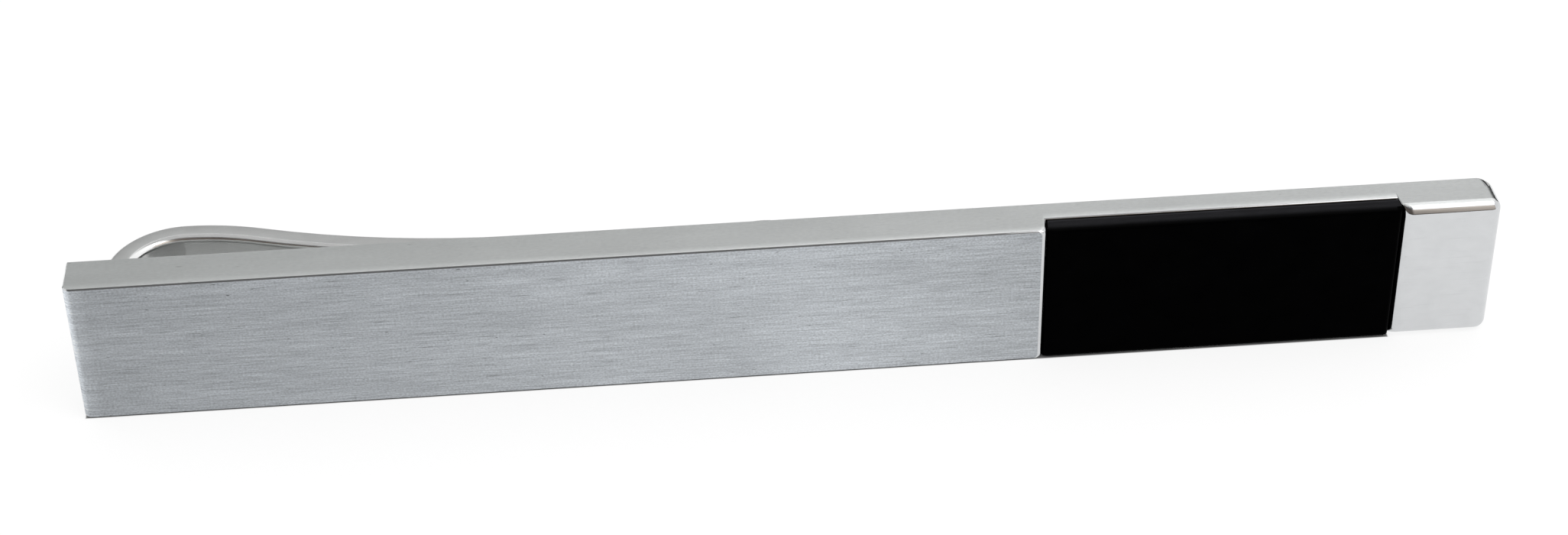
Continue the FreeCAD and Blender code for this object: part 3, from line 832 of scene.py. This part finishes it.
def card_finish(name, tone_left, tone_right, left, right, heights, cover=1.0):
    """Matt card that runs from one tone to the other between two places along X, dims at given heights, and
    may be a net that covers only a share of what is behind it."""
    finish = Finish(name, tone_left, 1.0, Specular_IOR_Level=0.0, Alpha=cover)
    across = finish.add("ShaderNodeValToRGB")
    across.color_ramp.elements[0].color = (*tone_left, 1.0)
    across.color_ramp.elements[1].color = (*tone_right, 1.0)
    up = finish.add("ShaderNodeFloatCurve")
    curve = up.mapping.curves[0]
    top = heights[-1][0]
    for point, (height, tone) in zip(curve.points, (heights[0], heights[-1])):
        point.location = (height / top, tone)
    for height, tone in heights[1:-1]:
        curve.points.new(height / top, tone)
    for point in curve.points:
        point.handle_type = "VECTOR"
    up.mapping.update()
    dim = finish.add("ShaderNodeVectorMath")
    dim.operation = "SCALE"
    finish.link(finish.spread(finish.across("X"), 0.0, 1.0, left, right), across.inputs["Fac"])
    finish.link(finish.spread(finish.across("Z"), 0.0, 1.0, 0.0, top), up.inputs["Value"])
    finish.link(across.outputs["Color"], dim.inputs[0])
    finish.link(up.outputs["Value"], dim.inputs["Scale"])
    finish.link(dim.outputs["Vector"], finish.shader.inputs["Base Color"])
    return finish.material


def add_sky(stage):
    """Even soft light from all round, white where it is seen."""
    world = bpy.data.worlds.new("soft_sky")
    bpy.context.scene.world = world
    world.use_nodes = True
    tree = world.node_tree
    tree.nodes.clear()
    output = tree.nodes.new("ShaderNodeOutputWorld")
    light, white = (tree.nodes.new("ShaderNodeBackground") for _ in range(2))
    light.inputs["Strength"].default_value = stage.sky
    for background in (light, white):
        background.inputs["Color"].default_value = (1.0, 1.0, 1.0, 1.0)
    path = tree.nodes.new("ShaderNodeLightPath")
    choose = tree.nodes.new("ShaderNodeMixShader")
    seen = combined(tree, "MAXIMUM", path.outputs["Is Camera Ray"], path.outputs["Is Glossy Ray"],
                    path.outputs["Is Transmission Ray"])
    tree.links.new(seen, choose.inputs["Fac"])
    tree.links.new(light.outputs["Background"], choose.inputs[1])
    tree.links.new(white.outputs["Background"], choose.inputs[2])
    tree.links.new(choose.outputs["Shader"], output.inputs["Surface"])


def add_softbox(stage):
    """A soft panel overhead, towards the right and the front."""
    span, depth, place = 235 * MM, 272 * MM, (212 * MM, -114 * MM, 320 * MM)
    light = bpy.data.lights.new("overhead_softbox", "AREA")
    light.shape = "RECTANGLE"
    light.size, light.size_y = span, depth
    light.energy = stage.softbox * math.pi * span * depth
    lamp = bpy.data.objects.new("overhead_softbox", light)
    lamp.location = place
    bpy.context.scene.collection.objects.link(lamp)


def add_camera(stage):
    """The camera at the photograph's viewing angle."""
    data = bpy.data.cameras.new("photo_camera")
    data.lens = stage.lens
    data.sensor_width = SENSOR_WIDTH
    data.clip_start = 1 * MM
    camera = bpy.data.objects.new("photo_camera", data)
    level = math.cos(stage.height)
    forward = Vector((math.sin(stage.turn) * level, math.cos(stage.turn) * level, -math.sin(stage.height)))
    camera.location = Vector(stage.aim) - stage.distance * forward
    camera.rotation_mode = "QUATERNION"
    camera.rotation_quaternion = forward.to_track_quat("-Z", "Y") @ Quaternion((0, 0, 1), stage.roll)
    bpy.context.scene.collection.objects.link(camera)
    bpy.context.scene.camera = camera


def upright_corners(left, right, y, top):
    """Corners of a sheet that stands on the floor."""
    return [(left, y, 0.0), (right, y, 0.0), (right, y, top), (left, y, top)]


def level_corners(left, right, front, back, z):
    """Corners of a level sheet."""
    return [(left, front, z), (right, front, z), (right, back, z), (left, back, z)]


def add_floor(stage):
    """A wide floor just under the clip."""
    reach, sunk = 900 * MM, -0.01 * MM
    add_sheet("floor", level_corners(-reach, reach, -reach, reach, sunk), floor_finish(stage))


def add_cards():
    """Cards round the clip and a net over it, which show only in the metal."""
    wide = 400 * MM
    front_y, front_top = -260 * MM, 580 * MM
    front_heights = [(0.0, 0.15), (60 * MM, 1.0), (270 * MM, 1.0), (330 * MM, 0.3), (front_top, 0.2)]
    front_tone = card_finish("front_card", (0.2, 0.17, 0.15), (0.86, 0.77, 0.69), 20 * MM, 125 * MM,
                             front_heights)
    front = add_sheet("front_card", upright_corners(-wide, wide, front_y, front_top), front_tone)

    back_y, back_low, back_top = 220 * MM, 235 * MM, 300 * MM
    slope_left, slope_right, pale_left = -60 * MM, 67 * MM, -120 * MM
    back_heights = [(0.0, 0.76), (120 * MM, 0.76), (165 * MM, 0.84), (back_low, 1.0), (back_top, 1.0)]
    back_tone = card_finish("back_card", (0.73, 0.74, 0.735), (1.0, 1.0, 1.0), pale_left, slope_right,
                            back_heights)
    back = add_sheet("back_card", [(-wide, back_y, 0.0), (wide, back_y, 0.0), (wide, back_y, back_low),
                                   (slope_right, back_y, back_low), (slope_left, back_y, back_top),
                                   (-wide, back_y, back_top)], back_tone)

    over_right, over_z = 92 * MM, 325 * MM
    over_tone = card_finish("over_net", (0.7, 0.7, 0.7), (0.8, 0.8, 0.8), -wide, over_right,
                            [(0.0, 1.0), (over_z, 1.0)], cover=0.65)
    over = add_sheet("over_net", level_corners(-wide, over_right, front_y, back_y, over_z), over_tone)

    side_y, side_left, side_top, side_dark = 219 * MM, 140 * MM, 110 * MM, (0.04, 0.04, 0.04)
    side_tone = card_finish("side_card", side_dark, side_dark, side_left, wide, [(0.0, 1.0), (side_top, 1.0)])
    side = add_sheet("side_card", upright_corners(side_left, wide, side_y, side_top), side_tone)

    for card in (front, back, over, side):
        card.visible_camera = False
        card.visible_diffuse = False
        card.visible_shadow = False


class SetStage(bpy.types.Operator):
    """Set the floor, the cards that the metal mirrors, the light and the camera."""

    bl_idname = "tie_clip.stage"
    bl_label = "Stage"

    def execute(self, context):
        stage = context.scene.tie_clip.stage
        add_floor(stage)
        add_cards()
        add_sky(stage)
        add_softbox(stage)
        add_camera(stage)
        context.scene.view_settings.view_transform = "Standard"
        return {"FINISHED"}


class TieClipPanel(bpy.types.Panel):
    """Lists the pieces and their settings."""

    bl_idname = "VIEW3D_PT_tie_clip"
    bl_label = "Tie clip"
    bl_space_type = "VIEW_3D"
    bl_region_type = "UI"
    bl_category = "Tie clip"

    def draw(self, context):
        settings = context.scene.tie_clip
        rows = ((MakeBar, settings.bar), (MakeInlay, settings.inlay), (MakeStrip, settings.strip),
                (MakeSeam, None), (SetStage, settings.stage))
        for operator, group in rows:
            box = self.layout.box()
            box.operator(operator.bl_idname)
            for name in group.__annotations__ if group else ():
                box.prop(group, name)


CLASSES = (
    BarSettings, InlaySettings, StripSettings, StageSettings, TieClipSettings,
    MakeBar, MakeInlay, MakeStrip, MakeSeam, SetStage, TieClipPanel,
)


def register():
    for cls in CLASSES:
        bpy.utils.register_class(cls)
    bpy.types.Scene.tie_clip = PointerProperty(type=TieClipSettings)


def unregister():
    del bpy.types.Scene.tie_clip
    for cls in reversed(CLASSES):
        bpy.utils.unregister_class(cls)


def main():
    register()
    bpy.ops.tie_clip.bar()
    bpy.ops.tie_clip.inlay()
    bpy.ops.tie_clip.strip()
    bpy.ops.tie_clip.seam()
    bpy.ops.tie_clip.stage()
    boxes = {"cad": CAD_BOX, "visual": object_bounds()}
    {name: [list(corner) for corner in box] for name, box in boxes.items()}


if __name__ == "__main__":
    main()
